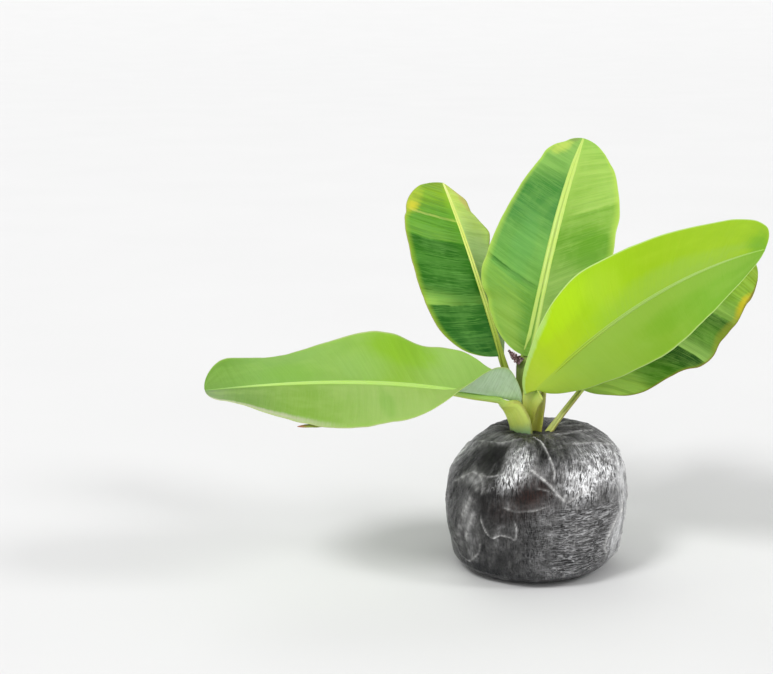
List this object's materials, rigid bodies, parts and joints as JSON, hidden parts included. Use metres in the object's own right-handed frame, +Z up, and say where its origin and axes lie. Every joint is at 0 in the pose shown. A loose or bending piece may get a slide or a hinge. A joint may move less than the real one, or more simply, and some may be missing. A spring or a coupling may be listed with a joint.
{
  "type": "banana plant",
  "caption": "Young banana plant: broad midribbed leaves on short channelled petioles, standing on a lumpy root ball in a dark bag wrapped in clear film.",
  "frame": {"origin": "centre of the root ball's flat underside, on the surface it stands on", "axes": "+Z up; the long level leaf points to -X, the plant's front faces -Y, and the two upright leaves lean back to +Y"},
  "size_m": [0.4536, 0.2654, 0.3488],
  "materials": {
    "bag_film": "dark bag under crinkled clear stretch film, glossy",
    "leaf_bright": "young waxy leaf, satin",
    "leaf_green": "waxy leaf with fine cross veins, satin",
    "leaf_dark": "mature waxy leaf with fine cross veins, satin",
    "stalk": "smooth green plant skin, satin",
    "dry_sheath": "withered, matt"
  },
  "bodies": {
    "root": {"root_ball": "bag_film", "pseudostem": "stalk", "petiole_left": "stalk", "petiole_right": "stalk", "petiole_back": "stalk", "petiole_back_left": "stalk", "petiole_back_right": "stalk", "leaf_left": "leaf_green", "leaf_right": "leaf_bright", "leaf_back": "leaf_green", "leaf_back_left": "leaf_dark", "leaf_back_right": "leaf_dark", "sheath_shred": "dry_sheath"}
  },
  "joints": []
}
